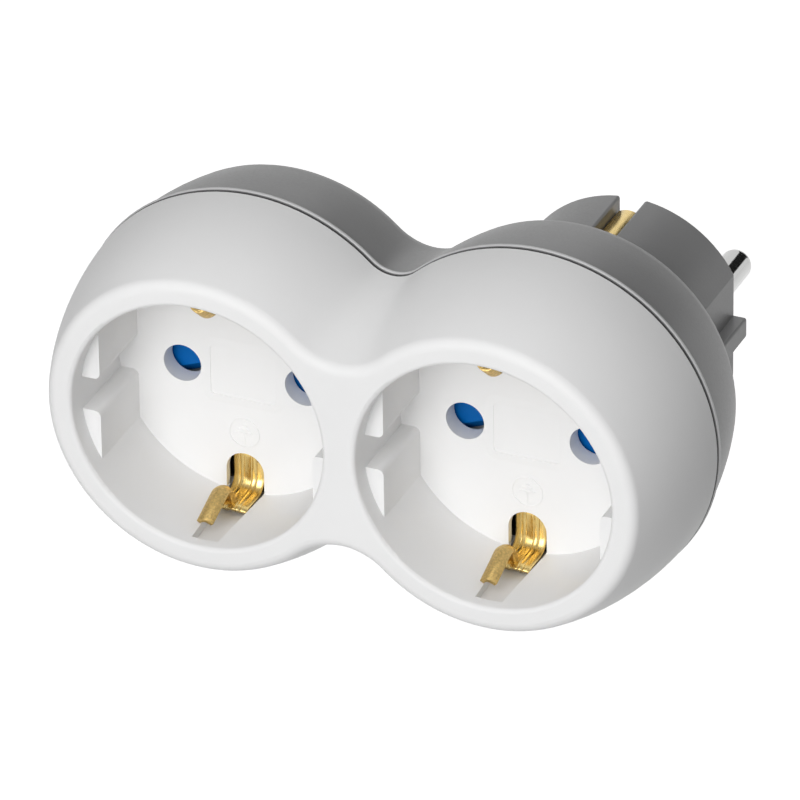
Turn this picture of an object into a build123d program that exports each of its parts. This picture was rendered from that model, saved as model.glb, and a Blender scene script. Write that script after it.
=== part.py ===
"""Two-way earthed socket adapter: two round socket wells on a figure-eight body with one wall plug."""
import math
import os

from build123d import *

os.makedirs("parts", exist_ok=True)

# Millimetres. +X right as the sockets are faced, +Y into the wall, +Z up.
# The origin is the centre of the plug face; depths run from the front rim plane towards the wall.

# Overall layout
body_depth = 56.5
pin_spacing = 19.0
well_r = 19.5
rim_web = 5.0
socket_spacing = 2 * well_r + rim_web
right_x = 0.0
left_x = right_x - socket_spacing
middle_x = right_x - socket_spacing / 2
socket_xs = (right_x, left_x)
pin_offset = pin_spacing / 2

# General clearances
running_gap = 0.05
assembly_gap = 0.1
free_gap = 0.3
overcut = 1.0
embed = 0.5
selection_reach = 0.2

# Front cover skin: a flat rim around the wells, rounded and flared to the parting line
mouth_round = 0.7
rim_land = 1.6
rim_flat_r = well_r + mouth_round + rim_land
rim_round_r = 1.8
rim_round_angle = 68.0
flare = 5.7
parting_r = rim_flat_r + flare
parting_depth = 20.3
cover_wall = 2.6
front_wall = 2.4

# Waist: the fillet axis between the lobes clears the parting line by the fillet's radius there
waist_round_r = 5.2
waist_reach = parting_r + waist_round_r
waist_z = math.sqrt(waist_reach**2 - (socket_spacing / 2) ** 2)
waist_angle = math.degrees(math.atan2(waist_z, socket_spacing / 2))

# Shadow line between the cover and the housing
shadow_gap = 0.55

# Rear housing skin
housing_front = parting_depth + shadow_gap
housing_inset = 0.3
housing_r = parting_r - housing_inset
bead_r = 0.45
back_depth = 39.0
back_curve = 4.8
shoulder_inset = 2.4
shoulder_r = housing_r - shoulder_inset
shoulder_depth = back_depth - back_curve
flank_rise = 0.35
housing_wall = 1.6
inner_back = back_depth - housing_wall

# Lip of the cover inside the housing
lip_gap = 0.25
lip_out_r = housing_r - housing_wall - lip_gap
lip_thickness = 1.1
lip_root = 2.8
lip_reach = 2.9
lip_start = parting_depth - lip_root
lip_end = parting_depth + lip_reach

# Socket wells
cup_wall = 2.2
floor_depth = 16.5
floor_thickness = 3.0
floor_back = floor_depth + floor_thickness
guide_height = 3.0
guide_x = well_r - guide_height
guide_front = 3.5
guide_slot = 5.3
guide_round = 0.9
pin_hole_r = 2.95

# Earth channel in the well wall, widening inwards, the arch in the well floor and the recess behind it
channel_front = 2.2
channel_front_width = 4.1
channel_back_width = 6.0
channel_cut = 1.3
channel_reach = well_r + channel_cut
arch_width = 5.9
arch_reach = 6.5
arch_top = well_r - arch_reach
arch_wall = 1.2
recess_front = floor_depth + arch_wall
recess_width = 9.0
recess_rise = 1.1
recess_low = arch_top - recess_rise
recess_high = well_r - free_gap

# Shutter, its post, spring and retainer
shutter_gap = 0.6
shutter_front = floor_back + shutter_gap
shutter_thickness = 2.2
shutter_back = shutter_front + shutter_thickness
shutter_over = 3.5
shutter_r = pin_offset + shutter_over
shutter_half_angle = 20.5
shutter_hub_r = 3.6
shutter_ramp = 1.4
post_r = 1.5
spring_gauge = 0.4
spring_r = 5.0
spring_width = 0.5
spring_open = 60.0
spring_leg = 2.4
retainer_front = shutter_back + spring_gauge + 2 * assembly_gap
retainer_thickness = 1.4
retainer_back = retainer_front + retainer_thickness
retainer_over = 4.5
retainer_r = pin_offset + retainer_over
retainer_flat_z = 11.8
retainer_hole_gap = 0.25
retainer_hole_r = pin_hole_r + retainer_hole_gap
pillar_reach = 10.0
pillar_angle = math.radians(70.0)
pillar_x = pillar_reach * math.cos(pillar_angle)
pillar_z = pillar_reach * math.sin(pillar_angle)
pillar_r = 1.7
nub_r = 0.9

# Earth stirrup: one bent strip per socket, a leaf and a tongue at each end
strip_gauge = 0.8
leaf_width = 4.8
tongue_width = 2.7
tongue_past = 0.3
stirrup_clear = 0.9
stirrup_front = retainer_back + stirrup_clear
stirrup_line = stirrup_front + strip_gauge / 2
stirrup_back = stirrup_front + strip_gauge
leg_rise = 0.4
leg_z = arch_top - leg_rise
leaf_clear = 0.15
leaf_line = recess_front + leaf_clear + strip_gauge / 2
run_clear = 1.15
run_z = channel_reach - run_clear
run_corner = 1.55
run_ahead = 4.8
run_end = floor_depth - run_ahead
lower_tongue_ahead = (2.0, 4.0, 5.6, 12.0)
lower_tongue_rise = (0.0, 0.0, 4.35, 1.1)
upper_tongue_ahead = (2.9, 4.9, 8.8, 12.5)
upper_tongue_rise = (0.0, 0.0, 5.7, 2.5)
bend_r = 1.5

# Pin contacts and bus bars
contact_bore_r = 2.35
contact_wall = 0.6
contact_slit = 0.9
contact_clear = 0.7
contact_front = retainer_back + contact_clear
bar_gauge = 0.8
bar_clear = 0.4
bar_back = inner_back - bar_clear
bar_front = bar_back - bar_gauge
contact_base = 0.5
contact_base_front = bar_front - contact_base
contact_base_r = 3.3
bar_pad_r = 3.6
bar_rail_z = 6.2
bar_rail_width = 2.6
tenon_r = 1.2
tenon_hole_r = tenon_r + running_gap
rivet_head_r = 1.8
rivet_head = 0.3

# Earth link between the stirrups and the plug bracket
link_z = 6.8
link_width = 4.0
link_back = stirrup_back + strip_gauge
link_tab_width = 3.0
earth_rivet_r = 0.9
earth_rivet_head_r = 1.3
earth_rivet_offset = 0.6
earth_rivet_z = link_z + earth_rivet_offset
earth_rivet_head = 0.3

# Wall plug
pin_r = 2.4
pin_shank_r = 2.6
pin_length = 18.0
pin_tip_r = 1.9
plug_r = 17.8
plug_round = 0.45
plug_corner_r = 0.4
plug_flat_cut = 2.05
plug_flat_x = plug_r - plug_flat_cut
rib_cut = 0.05
rib_x = plug_r - rib_cut
rib_height = 3.2
slot_width = 3.8
slot_depth = 3.0
slot_floor = plug_r - slot_depth
bracket_side_gap = 0.2
bracket_width = slot_width - 2 * bracket_side_gap
bracket_gauge = 0.9
bracket_low = slot_floor + assembly_gap
bracket_high = bracket_low + bracket_gauge
bracket_ahead = 4.0
bracket_front = inner_back - bracket_ahead
bracket_setback = 1.5
bracket_end = body_depth - bracket_setback
bracket_round = 1.2
leg_hole_gap = 0.15
leg_hole_high = bracket_high + leg_hole_gap

# Screw joining the two halves between the wells
screw_r = 1.5
screw_head_r = 2.9
screw_head = 1.9
screw_boss_r = 4.2
screw_bore_gap = 0.2
screw_bore_r = screw_r + screw_bore_gap
cover_boss_r = 3.2
cover_boss_start = floor_depth + embed
boss_clear = 2.0
boss_meet = retainer_back + boss_clear
screw_pilot_gap = 0.02
screw_pilot_r = screw_r + screw_pilot_gap
screw_sink_r = screw_head_r + free_gap
screw_sink = 2.6
screw_bite = 6.9
screw_seat = back_depth - screw_sink
screw_end = boss_meet - screw_bite
screw_cross = 0.8
screw_cross_length = 3.4
screw_cross_depth = 0.9


def y_at(depth):
    """Place of a depth along the frame's Y axis."""
    return depth - body_depth


def facing(depth, x=0.0):
    """Plane across the socket axes at a depth, +Z up; a positive extrusion runs to the front."""
    return Plane(origin=(x, y_at(depth), 0), x_dir=(1, 0, 0), z_dir=(0, -1, 0))


def holding_axis(x, z, degrees):
    """Plane that holds an axis along Y, local x pointing away from it and local y into the wall."""
    turn = math.radians(degrees)
    away = (math.cos(turn), 0, math.sin(turn))
    return Plane(origin=(x, 0, z), x_dir=away, z_dir=(-math.sin(turn), 0, math.cos(turn)))


def side_on(x):
    """Plane across X for strip profiles: local x is depth into the wall, local y is up."""
    return Plane(origin=(x, y_at(0), 0), x_dir=(0, 1, 0), z_dir=(1, 0, 0))


def upright(x, z, way):
    """Plane across Z that faces up or down, local x along X and local y along Y times the way."""
    return Plane(origin=(x, 0, z), x_dir=(1, 0, 0), z_dir=(0, 0, way))


def along_y(x, z=0.0):
    """Axis into the wall through a point of the front view."""
    return Axis((x, 0, z), (0, 1, 0))


def near(value, targets):
    """Whether a value lies at one of its targets, for choosing edges."""
    return min(abs(value - target) for target in targets) < selection_reach


def draw_profile(segments, place):
    """Lines from two points and arcs from three, each point placed by a rule."""
    for points in segments:
        placed = [place(radius, depth) for radius, depth in points]
        if len(placed) == 2:
            Line(*placed)
        else:
            ThreePointArc(*placed)


def lobed(side):
    """Solid of two lobes and their waist, swept from one side profile of radius and depth."""
    start = side[0][0]
    end = side[-1][-1]
    lobe_close = [(end, (0, end[1])), ((0, end[1]), (0, start[1])), ((0, start[1]), start)]
    beyond_start = (start[0], start[1] - overcut)
    beyond_end = (end[0], end[1] + overcut)
    spool_close = [
        (end, beyond_end),
        (beyond_end, (waist_reach, beyond_end[1])),
        ((waist_reach, beyond_end[1]), (waist_reach, beyond_start[1])),
        ((waist_reach, beyond_start[1]), beyond_start),
        (beyond_start, start),
    ]
    with BuildPart() as waist:
        with BuildSketch(facing(end[1])):
            with BuildLine():
                Polyline((right_x, 0), (middle_x, waist_z), (left_x, 0), (middle_x, -waist_z), close=True)
            make_face()
        extrude(amount=end[1] - start[1])
        for z in (waist_z, -waist_z):
            with BuildSketch(holding_axis(middle_x, z, 0)):
                with BuildLine():
                    draw_profile(side + spool_close, lambda r, depth: (waist_reach - r, y_at(depth)))
                make_face()
            revolve(axis=along_y(middle_x, z), mode=Mode.SUBTRACT)
    with BuildPart() as body:
        for x, first_side in ((right_x, 180 - waist_angle), (left_x, -waist_angle)):
            with BuildSketch(holding_axis(x, 0, first_side)):
                with BuildLine():
                    draw_profile(side + lobe_close, lambda r, depth: (r, y_at(depth)))
                make_face()
            revolve(axis=along_y(x), revolution_arc=360 - 2 * waist_angle)
        add(waist.part)
    return body.part


def circle_point(centre, radius, degrees):
    """Point of a profile arc, the angle measured from the outward direction towards the wall."""
    turn = math.radians(degrees)
    return (centre[0] + radius * math.cos(turn), centre[1] + radius * math.sin(turn))


def bowed(start, end, rise):
    """Arc between two profile points that bows outward by a rise at its middle."""
    along = (end[0] - start[0], end[1] - start[1])
    length = math.hypot(*along)
    middle = (
        (start[0] + end[0]) / 2 + rise * along[1] / length,
        (start[1] + end[1]) / 2 - rise * along[0] / length,
    )
    return (start, middle, end)


def cover_side(wall, first_depth):
    """Side profile of the cover, drawn in by a wall, from a first depth to the parting plane."""
    rounded_r = rim_flat_r + rim_round_r * math.sin(math.radians(rim_round_angle))
    rounded_depth = rim_round_r * (1 - math.cos(math.radians(rim_round_angle)))
    rise_angle = math.atan2(parting_depth - rounded_depth, parting_r - rounded_r)
    chord = math.hypot(parting_depth - rounded_depth, parting_r - rounded_r)
    flank = bowed(
        (rounded_r, rounded_depth),
        (parting_r, parting_depth),
        chord / 2 * math.tan((rise_angle - math.radians(rim_round_angle)) / 2),
    )
    if wall == 0:
        centre = (rim_flat_r, rim_round_r)
        rounding = tuple(circle_point(centre, rim_round_r, a) for a in (-90, -90 + rim_round_angle / 2))
        return [(*rounding, flank[0]), flank]
    drawn_in = [(radius - wall, depth) for radius, depth in flank]
    drawn_in[0] = (drawn_in[0][0], first_depth)
    drawn_in[2] = (drawn_in[2][0], parting_depth + overcut)
    return [tuple(drawn_in)]


def housing_side(wall):
    """Side profile of the housing from its front edge to the flat of its back, drawn in by a wall."""
    flank = bowed((housing_r, housing_front + 2 * bead_r), (shoulder_r, shoulder_depth), flank_rise)
    lean = math.atan2(housing_r - shoulder_r, shoulder_depth - flank[0][1])
    lean += 2 * math.atan2(flank_rise, math.hypot(housing_r - shoulder_r, shoulder_depth - flank[0][1]) / 2)
    lean = math.degrees(lean)
    round_r = (back_depth - shoulder_depth) / (1 - math.sin(math.radians(lean)))
    centre = (shoulder_r - round_r * math.cos(math.radians(lean)), back_depth - round_r)
    inner_r = round_r - wall
    back_round = tuple(circle_point(centre, inner_r, a) for a in (lean, (lean + 90) / 2, 90))
    drawn_in = [(radius - wall, depth) for radius, depth in flank]
    drawn_in[2] = back_round[0]
    if wall == 0:
        bead_centre = (housing_r, housing_front + bead_r)
        bead = tuple(circle_point(bead_centre, bead_r, a) for a in (-90, 0, 90))
        return [bead, tuple(drawn_in), back_round]
    mouth = ((drawn_in[0][0], housing_front - overcut), drawn_in[0])
    return [mouth, tuple(drawn_in), back_round]


def strip(points, width_from, width_to, gauge):
    """Bent strip of one gauge along points of depth and height, between two places across its width."""
    with BuildPart() as bent:
        with BuildSketch(side_on(width_from)):
            with BuildLine() as run:
                FilletPolyline(*points, radius=bend_r)
            trace(run.line, line_width=gauge)
        extrude(amount=width_to - width_from)
    return bent.part


# Front cover: one white moulding with the rim, both wells, their floors and the posts behind them
cover_skin = lobed(cover_side(0, 0))
cover_hollow = lobed(cover_side(cover_wall, front_wall))
lip_ring = lobed([((lip_out_r, lip_start), (lip_out_r, lip_end))])
lip_in_r = lip_out_r - lip_thickness
lip_core = lobed([((lip_in_r, lip_start - overcut), (lip_in_r, lip_end + overcut))])
with BuildPart() as cover_lip:
    add(lip_ring)
    add(lip_core, mode=Mode.SUBTRACT)

with BuildPart() as front_cover:
    add(cover_skin)
    add(cover_hollow, mode=Mode.SUBTRACT)
    add(cover_lip.part)
    with BuildSketch(facing(floor_back)):
        with Locations(*[(x, 0) for x in socket_xs]):
            Circle(well_r + cup_wall)
    extrude(amount=floor_back - front_wall / 2)
    with BuildSketch(facing(boss_meet)):
        with Locations((middle_x, 0)):
            Circle(cover_boss_r)
    extrude(amount=boss_meet - cover_boss_start)
    with BuildSketch(facing(floor_depth)):
        with Locations(*[(x, 0) for x in socket_xs]):
            Circle(well_r)
    extrude(amount=floor_depth + overcut, mode=Mode.SUBTRACT)
    mouth_edges = front_cover.edges().filter_by(GeomType.CIRCLE)
    mouth_edges = mouth_edges.filter_by(lambda e: near(e.radius, [well_r]))
    fillet(mouth_edges.filter_by(lambda e: near(e.center().Y, [y_at(0)])), mouth_round)
    with BuildSketch(facing(floor_depth + embed)):
        with Locations(*[(x, 0) for x in socket_xs]):
            Circle(well_r + embed)
            Rectangle(2 * guide_x, 2 * well_r, mode=Mode.SUBTRACT)
            Rectangle(2 * well_r + 2 * overcut, guide_slot, mode=Mode.SUBTRACT)
    extrude(amount=floor_depth + embed - guide_front)
    guide_xs = [x + way * guide_x for x in socket_xs for way in (1, -1)]
    guide_edges = front_cover.edges().filter_by(Axis.Y)
    guide_edges = guide_edges.filter_by(lambda e: near(abs(e.center().Z), [guide_slot / 2]))
    fillet(guide_edges.filter_by(lambda e: near(e.center().X, guide_xs)), guide_round)
    for way in (1, -1):
        with BuildSketch(*[upright(x, way * (well_r - overcut), way) for x in socket_xs]):
            channel_ends = (
                (channel_front_width / 2, way * y_at(channel_front)),
                (channel_back_width / 2, way * y_at(floor_back + overcut)),
            )
            with BuildLine():
                Polyline(*channel_ends, *[(-across, y) for across, y in reversed(channel_ends)], close=True)
            make_face()
        extrude(amount=channel_cut + overcut, mode=Mode.SUBTRACT)
    with BuildSketch(facing(floor_back + overcut)):
        for x in socket_xs:
            for way in (1, -1):
                arch_centre = arch_top + arch_width / 2
                with Locations((x, way * arch_centre)):
                    Circle(arch_width / 2)
                with Locations((x, way * (arch_centre + recess_high) / 2)):
                    Rectangle(arch_width, recess_high - arch_centre)
            with Locations((x - pin_offset, 0), (x + pin_offset, 0)):
                Circle(pin_hole_r)
    extrude(amount=floor_thickness + 2 * overcut, mode=Mode.SUBTRACT)
    with BuildSketch(facing(floor_back + overcut)):
        recess_z = (recess_low + recess_high) / 2
        for x in socket_xs:
            with Locations((x, recess_z), (x, -recess_z)):
                Rectangle(recess_width, recess_high - recess_low)
    extrude(amount=floor_back + overcut - recess_front, mode=Mode.SUBTRACT)
    with BuildSketch(facing(retainer_back + free_gap)):
        for x in socket_xs:
            with Locations((x, 0)):
                Circle(post_r)
            with Locations((x + pillar_x, pillar_z), (x - pillar_x, -pillar_z)):
                Circle(nub_r)
    extrude(amount=retainer_back + free_gap - floor_back + embed)
    with BuildSketch(facing(retainer_front)):
        for x in socket_xs:
            with Locations((x + pillar_x, pillar_z), (x - pillar_x, -pillar_z)):
                Circle(pillar_r)
    extrude(amount=retainer_front - floor_back + embed)
    with BuildSketch(facing(boss_meet + overcut)):
        with Locations((middle_x, 0)):
            Circle(screw_pilot_r)
    extrude(amount=boss_meet + overcut - screw_end + free_gap, mode=Mode.SUBTRACT)
front_cover.part.label = "front_cover"
export_step(front_cover.part, "parts/front_cover.step")

# Rear housing: one grey moulding with the back of the body and the wall plug
housing_skin = lobed(housing_side(0))
housing_hollow = lobed(housing_side(housing_wall))

with BuildPart() as rear_housing:
    add(housing_skin)
    with BuildSketch(facing(body_depth, right_x)) as plug_section:
        Circle(plug_r)
        with Locations((plug_flat_x + plug_r / 2, 0), (-plug_flat_x - plug_r / 2, 0)):
            Rectangle(plug_r, 2 * plug_r, mode=Mode.SUBTRACT)
        Rectangle(2 * rib_x, rib_height)
        slot_z = slot_floor + plug_r / 2
        with Locations((0, slot_z), (0, -slot_z)):
            Rectangle(slot_width, plug_r, mode=Mode.SUBTRACT)
        plug_corners = plug_section.vertices()
        fillet(plug_corners.filter_by(lambda v: near(math.hypot(v.X, v.Y), [plug_r])), plug_corner_r)
    extrude(amount=body_depth - back_depth + embed)
    plug_edges = rear_housing.faces().sort_by(Axis.Y)[-1].edges()
    fillet(plug_edges, plug_round)
    add(housing_hollow, mode=Mode.SUBTRACT)
    with BuildSketch(facing(inner_back + embed)):
        with Locations((middle_x, 0)):
            Circle(screw_boss_r)
    extrude(amount=inner_back + embed - boss_meet - assembly_gap)
    with BuildSketch(facing(back_depth + embed)):
        for way in (1, -1):
            with Locations((right_x, way * (slot_floor + leg_hole_high) / 2)):
                Rectangle(slot_width, leg_hole_high - slot_floor)
    extrude(amount=housing_wall + 2 * embed, mode=Mode.SUBTRACT)
    with BuildSketch(facing(body_depth + overcut)):
        with Locations((right_x - pin_offset, 0), (right_x + pin_offset, 0)):
            Circle(pin_shank_r + running_gap)
    extrude(amount=body_depth + overcut - inner_back + overcut, mode=Mode.SUBTRACT)
    with BuildSketch(facing(back_depth + overcut)):
        with Locations((middle_x, 0)):
            Circle(screw_sink_r)
    extrude(amount=back_depth + overcut - screw_seat, mode=Mode.SUBTRACT)
    with BuildSketch(facing(screw_seat + embed)):
        with Locations((middle_x, 0)):
            Circle(screw_bore_r)
    extrude(amount=screw_seat + embed - boss_meet + overcut, mode=Mode.SUBTRACT)
rear_housing.part.label = "rear_housing"
export_step(rear_housing.part, "parts/rear_housing.step")

# Shutters, springs and retainers behind each well floor
for side, x in (("right", right_x), ("left", left_x)):
    wing = math.radians(shutter_half_angle)
    with BuildPart() as shutter:
        with BuildSketch(facing(shutter_back, x)):
            Circle(shutter_hub_r)
            for way in (1, -1):
                tip = way * shutter_r
                with BuildLine():
                    Line((0, 0), (tip * math.cos(wing), shutter_r * math.sin(wing)))
                    ThreePointArc(
                        (tip * math.cos(wing), shutter_r * math.sin(wing)),
                        (tip, 0),
                        (tip * math.cos(wing), -shutter_r * math.sin(wing)),
                    )
                    Line((tip * math.cos(wing), -shutter_r * math.sin(wing)), (0, 0))
                make_face()
            Circle(post_r + running_gap, mode=Mode.SUBTRACT)
        extrude(amount=shutter_thickness)
        ramp_edges = shutter.faces().sort_by(Axis.Y)[0].edges().filter_by(GeomType.LINE)
        ramp_edges = ramp_edges.filter_by(lambda e: (e.center().X - x) * e.center().Z > 0)
        chamfer(ramp_edges, shutter_ramp)
    shutter.part.label = f"shutter_{side}"
    export_step(shutter.part, f"parts/shutter_{side}.step")

    with BuildPart() as spring:
        with BuildSketch(facing(shutter_back + assembly_gap + spring_gauge, x)):
            with BuildLine() as wire:
                bend = CenterArc((0, 0), spring_r, 90 + spring_open / 2, 360 - spring_open)
                for share in (0, 1):
                    tip = bend @ share
                    Line(tip, tip * (1 + spring_leg / spring_r))
            trace(wire.line, line_width=spring_width)
        extrude(amount=spring_gauge)
    spring.part.label = f"shutter_spring_{side}"
    export_step(spring.part, f"parts/shutter_spring_{side}.step")

    with BuildPart() as retainer:
        with BuildSketch(facing(retainer_back, x)):
            Circle(retainer_r)
            Rectangle(2 * retainer_r, 2 * retainer_flat_z, mode=Mode.INTERSECT)
            with Locations((pin_offset, 0), (-pin_offset, 0)):
                Circle(retainer_hole_r, mode=Mode.SUBTRACT)
            with Locations((pillar_x, pillar_z), (-pillar_x, -pillar_z)):
                Circle(nub_r + running_gap, mode=Mode.SUBTRACT)
            Circle(post_r + running_gap, mode=Mode.SUBTRACT)
        extrude(amount=retainer_thickness)
    retainer.part.label = f"shutter_retainer_{side}"
    export_step(retainer.part, f"parts/shutter_retainer_{side}.step")

    # Earth stirrup of this socket: a leaf and a tongue below, the same above with its tongue further in
    leaf_path = [
        (stirrup_line, 0),
        (stirrup_line, -leg_z),
        (leaf_line, -leg_z),
        (leaf_line, -run_z + run_corner),
        (leaf_line - run_corner, -run_z),
        (run_end, -run_z),
    ]
    lower_tongue = zip(lower_tongue_ahead, lower_tongue_rise)
    lower_path = [(floor_depth - ahead, -run_z + rise) for ahead, rise in lower_tongue]
    upper_tongue = zip(upper_tongue_ahead, upper_tongue_rise)
    upper_path = [(floor_depth - ahead, run_z - rise) for ahead, rise in upper_tongue]
    tongue_end = x + tongue_past
    with BuildPart() as stirrup:
        add(strip(leaf_path, x - leaf_width / 2, x + leaf_width / 2, strip_gauge))
        mirror(about=Plane.XY)
        for path in (lower_path, upper_path):
            add(strip(path, tongue_end - tongue_width, tongue_end, strip_gauge))
        with BuildSketch(facing(stirrup_back + overcut, x)):
            with Locations((0, earth_rivet_z)):
                Circle(earth_rivet_r + running_gap)
        extrude(amount=strip_gauge + 2 * overcut, mode=Mode.SUBTRACT)
    stirrup.part.label = f"earth_stirrup_{side}"
    export_step(stirrup.part, f"parts/earth_stirrup_{side}.step")

    # Split sleeves that grip the pins of an inserted plug
    for pole, pin_x in (("left", x - pin_offset), ("right", x + pin_offset)):
        with BuildPart() as contact:
            with BuildSketch(facing(bar_front, pin_x)):
                Circle(contact_base_r)
                Circle(tenon_hole_r, mode=Mode.SUBTRACT)
            extrude(amount=contact_base)
            with BuildSketch(facing(contact_base_front, pin_x)):
                Circle(contact_bore_r + contact_wall)
                Circle(contact_bore_r, mode=Mode.SUBTRACT)
                Rectangle(contact_slit, 3 * contact_bore_r, mode=Mode.SUBTRACT)
            extrude(amount=contact_base_front - contact_front)
        contact.part.label = f"pin_contact_{side}_{pole}"
        export_step(contact.part, f"parts/pin_contact_{side}_{pole}.step")

# Bus bars: each joins one contact of both sockets with one plug pin, one rail above and one below
for pole, sign in (("left", -1), ("right", 1)):
    rail_z = -sign * bar_rail_z
    with BuildPart() as bus_bar:
        with BuildSketch(facing(bar_back)):
            for x in socket_xs:
                with Locations((x + sign * pin_offset, 0)):
                    Circle(bar_pad_r)
                with Locations((x + sign * pin_offset, rail_z / 2)):
                    Rectangle(bar_rail_width, abs(rail_z))
            with Locations((middle_x + sign * pin_offset, rail_z)):
                Rectangle(socket_spacing + bar_rail_width, bar_rail_width)
            for x in socket_xs:
                with Locations((x + sign * pin_offset, 0)):
                    Circle(tenon_hole_r, mode=Mode.SUBTRACT)
        extrude(amount=bar_gauge)
    bus_bar.part.label = f"bus_bar_{pole}"
    export_step(bus_bar.part, f"parts/bus_bar_{pole}.step")

    # Plug pin with a tenon riveted into the bus bar and the contact in front of it
    with BuildPart() as plug_pin:
        with BuildSketch(holding_axis(right_x + sign * pin_offset, 0, 0)):
            with BuildLine():
                Polyline(
                    (0, y_at(contact_base_front)),
                    (tenon_r, y_at(contact_base_front)),
                    (tenon_r, y_at(bar_back)),
                    (pin_shank_r, y_at(bar_back)),
                    (pin_shank_r, 0),
                    (pin_r, 0),
                    (pin_r, pin_length - pin_tip_r),
                )
                tip = JernArc((pin_r, pin_length - pin_tip_r), (0, 1), pin_tip_r, 90)
                Polyline(tip @ 1, (0, pin_length), (0, y_at(contact_base_front)))
            make_face()
        revolve(axis=along_y(right_x + sign * pin_offset))
    plug_pin.part.label = f"plug_pin_{pole}"
    export_step(plug_pin.part, f"parts/plug_pin_{pole}.step")

# Rivets of the left socket's contacts
with BuildPart() as contact_rivets:
    with BuildSketch(facing(bar_back + rivet_head)):
        with Locations((left_x - pin_offset, 0), (left_x + pin_offset, 0)):
            Circle(rivet_head_r)
    extrude(amount=rivet_head)
    with BuildSketch(facing(bar_back)):
        with Locations((left_x - pin_offset, 0), (left_x + pin_offset, 0)):
            Circle(tenon_r)
    extrude(amount=bar_back - contact_base_front)
contact_rivets.part.label = "contact_rivets"
export_step(contact_rivets.part, "parts/contact_rivets.step")

# Earth link: a strip behind both stirrups with a tab back to the plug bracket
with BuildPart() as earth_link:
    with BuildSketch(facing(link_back)):
        with Locations((middle_x, link_z)):
            Rectangle(socket_spacing + leaf_width, link_width)
        with Locations(*[(x, earth_rivet_z) for x in socket_xs]):
            Circle(earth_rivet_r + running_gap, mode=Mode.SUBTRACT)
    extrude(amount=strip_gauge)
    with BuildSketch(facing(bracket_front)):
        with Locations((right_x, link_z - link_width / 2 + strip_gauge / 2)):
            Rectangle(link_tab_width, strip_gauge)
    extrude(amount=bracket_front - link_back + strip_gauge)
earth_link.part.label = "earth_link"
export_step(earth_link.part, "parts/earth_link.step")

# Rivets that join the link to the stirrups
with BuildPart() as earth_rivets:
    with BuildSketch(facing(link_back + earth_rivet_head)):
        with Locations(*[(x, earth_rivet_z) for x in socket_xs]):
            Circle(earth_rivet_head_r)
    extrude(amount=earth_rivet_head)
    with BuildSketch(facing(link_back)):
        with Locations(*[(x, earth_rivet_z) for x in socket_xs]):
            Circle(earth_rivet_r)
    extrude(amount=link_back - stirrup_front)
    with BuildSketch(facing(stirrup_front)):
        with Locations(*[(x, earth_rivet_z) for x in socket_xs]):
            Circle(earth_rivet_head_r)
    extrude(amount=earth_rivet_head)
earth_rivets.part.label = "earth_rivets"
export_step(earth_rivets.part, "parts/earth_rivets.step")

# Earth bracket of the plug: a bridge inside the housing and a leg in each plug slot
with BuildPart() as plug_earth_bracket:
    with BuildSketch(facing(bracket_front + bracket_gauge)):
        with Locations((right_x, 0)):
            Rectangle(bracket_width, 2 * bracket_high)
    extrude(amount=bracket_gauge)
    with BuildSketch(facing(bracket_end)):
        for way in (1, -1):
            with Locations((right_x, way * (bracket_low + bracket_high) / 2)):
                Rectangle(bracket_width, bracket_gauge)
    extrude(amount=bracket_end - bracket_front)
    leg_ends = plug_earth_bracket.edges().filter_by(Axis.Z)
    fillet(leg_ends.filter_by(lambda e: near(e.center().Y, [y_at(bracket_end)])), bracket_round)
plug_earth_bracket.part.label = "plug_earth_bracket"
export_step(plug_earth_bracket.part, "parts/plug_earth_bracket.step")

# Screw through the housing into the cover, between the wells
with BuildPart() as housing_screw:
    with BuildSketch(facing(screw_seat + screw_head)):
        with Locations((middle_x, 0)):
            Circle(screw_head_r)
    extrude(amount=screw_head)
    with BuildSketch(facing(screw_seat)):
        with Locations((middle_x, 0)):
            Circle(screw_r)
    extrude(amount=screw_seat - screw_end)
    with BuildSketch(facing(screw_seat + screw_head)):
        with Locations((middle_x, 0)):
            Rectangle(screw_cross_length, screw_cross)
            Rectangle(screw_cross, screw_cross_length)
    extrude(amount=screw_cross_depth, mode=Mode.SUBTRACT)
housing_screw.part.label = "housing_screw"
export_step(housing_screw.part, "parts/housing_screw.step")
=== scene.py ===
"""Looks of the two-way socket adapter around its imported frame, laid out as a Blender add-on."""

import math

import bmesh
import bpy
from mathutils import Matrix, Vector


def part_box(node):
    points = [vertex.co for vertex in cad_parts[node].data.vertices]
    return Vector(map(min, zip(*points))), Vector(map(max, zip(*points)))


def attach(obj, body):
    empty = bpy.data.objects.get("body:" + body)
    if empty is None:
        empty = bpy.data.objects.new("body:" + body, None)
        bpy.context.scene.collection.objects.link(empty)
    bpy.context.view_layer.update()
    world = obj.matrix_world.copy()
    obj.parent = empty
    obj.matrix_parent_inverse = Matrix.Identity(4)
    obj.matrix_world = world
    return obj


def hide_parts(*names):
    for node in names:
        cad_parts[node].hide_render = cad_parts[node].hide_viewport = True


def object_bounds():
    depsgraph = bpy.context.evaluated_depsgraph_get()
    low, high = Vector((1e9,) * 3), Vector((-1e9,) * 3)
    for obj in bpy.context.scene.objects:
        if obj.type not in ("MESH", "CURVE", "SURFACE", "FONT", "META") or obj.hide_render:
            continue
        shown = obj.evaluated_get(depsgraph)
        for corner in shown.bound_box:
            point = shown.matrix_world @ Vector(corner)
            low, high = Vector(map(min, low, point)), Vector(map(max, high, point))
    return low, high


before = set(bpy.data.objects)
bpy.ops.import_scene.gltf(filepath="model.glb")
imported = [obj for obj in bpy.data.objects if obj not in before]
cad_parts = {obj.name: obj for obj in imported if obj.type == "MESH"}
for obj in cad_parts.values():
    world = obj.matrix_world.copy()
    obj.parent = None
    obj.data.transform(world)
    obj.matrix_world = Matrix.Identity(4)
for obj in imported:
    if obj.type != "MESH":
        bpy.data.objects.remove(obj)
cad_low, cad_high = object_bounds()

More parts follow.
